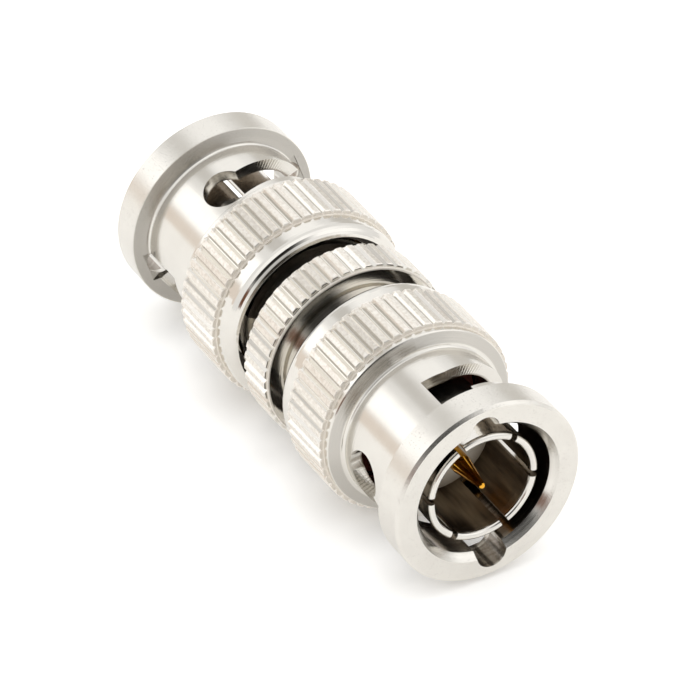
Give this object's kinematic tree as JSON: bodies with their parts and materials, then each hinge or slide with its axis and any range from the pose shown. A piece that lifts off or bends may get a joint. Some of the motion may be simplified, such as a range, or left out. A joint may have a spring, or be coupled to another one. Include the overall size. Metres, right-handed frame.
{
  "type": "bnc plug to plug adapter",
  "caption": "Straight coaxial adapter with a bayonet plug at each end, turning sprung coupling nuts and a knurled middle ring.",
  "frame": {"origin": "centre of the far coupling nut's front face, which the adapter stands on", "axes": "+Z along the axis of the adapter, from the far plug to the near plug; +Y is the side that lay on the table"},
  "size_m": [0.0144, 0.0144, 0.0369],
  "materials": {
    "nickel_plate": "bright nickel plate on turned brass",
    "contact_plate": "bright nickel plate on spring copper alloy",
    "gold_plate": "polished gold plate",
    "ptfe": "satin white, turned",
    "silicone": "matt dark red",
    "washer_plate": "satin nickel plate",
    "spring_bronze": "satin phosphor bronze"
  },
  "bodies": {
    "adapter": {"middle_body": "nickel_plate", "center_pin": "gold_plate", "near_outer_contact": "contact_plate", "near_insulator": "ptfe", "near_gasket": "silicone", "near_front_washer": "washer_plate", "near_front_wave_washer": "spring_bronze", "near_rear_wave_washer": "spring_bronze", "far_outer_contact": "contact_plate", "far_insulator": "ptfe", "far_gasket": "silicone", "far_front_washer": "washer_plate", "far_front_wave_washer": "spring_bronze", "far_rear_wave_washer": "spring_bronze"},
    "near_carrier": {"near_thrust_washer": "washer_plate"},
    "near_nut": {"near_coupling_nut": "nickel_plate", "near_retaining_ring": "spring_bronze"},
    "far_carrier": {"far_thrust_washer": "washer_plate"},
    "far_nut": {"far_coupling_nut": "nickel_plate", "far_retaining_ring": "spring_bronze"}
  },
  "joints": [
    {"name": "near_nut_pull", "type": "slide", "parent": "adapter", "child": "near_carrier", "axis": [0, 0, 1], "range_m": [0, 0.00095], "stiffness_N_per_m": 2000, "springref_m": -0.001, "deforming": ["near_front_wave_washer", "near_rear_wave_washer"]},
    {"name": "near_nut_turn", "type": "hinge", "parent": "near_carrier", "child": "near_nut", "pos_m": [0, 0, 0.02845], "axis": [0, 0, 1], "continuous": true},
    {"name": "far_nut_pull", "type": "slide", "parent": "adapter", "child": "far_carrier", "axis": [0, 0, -1], "range_m": [0, 0.00095], "stiffness_N_per_m": 2000, "springref_m": -0.001, "deforming": ["far_front_wave_washer", "far_rear_wave_washer"]},
    {"name": "far_nut_turn", "type": "hinge", "parent": "far_carrier", "child": "far_nut", "pos_m": [0, 0, 0.00845], "axis": [0, 0, -1], "continuous": true}
  ]
}
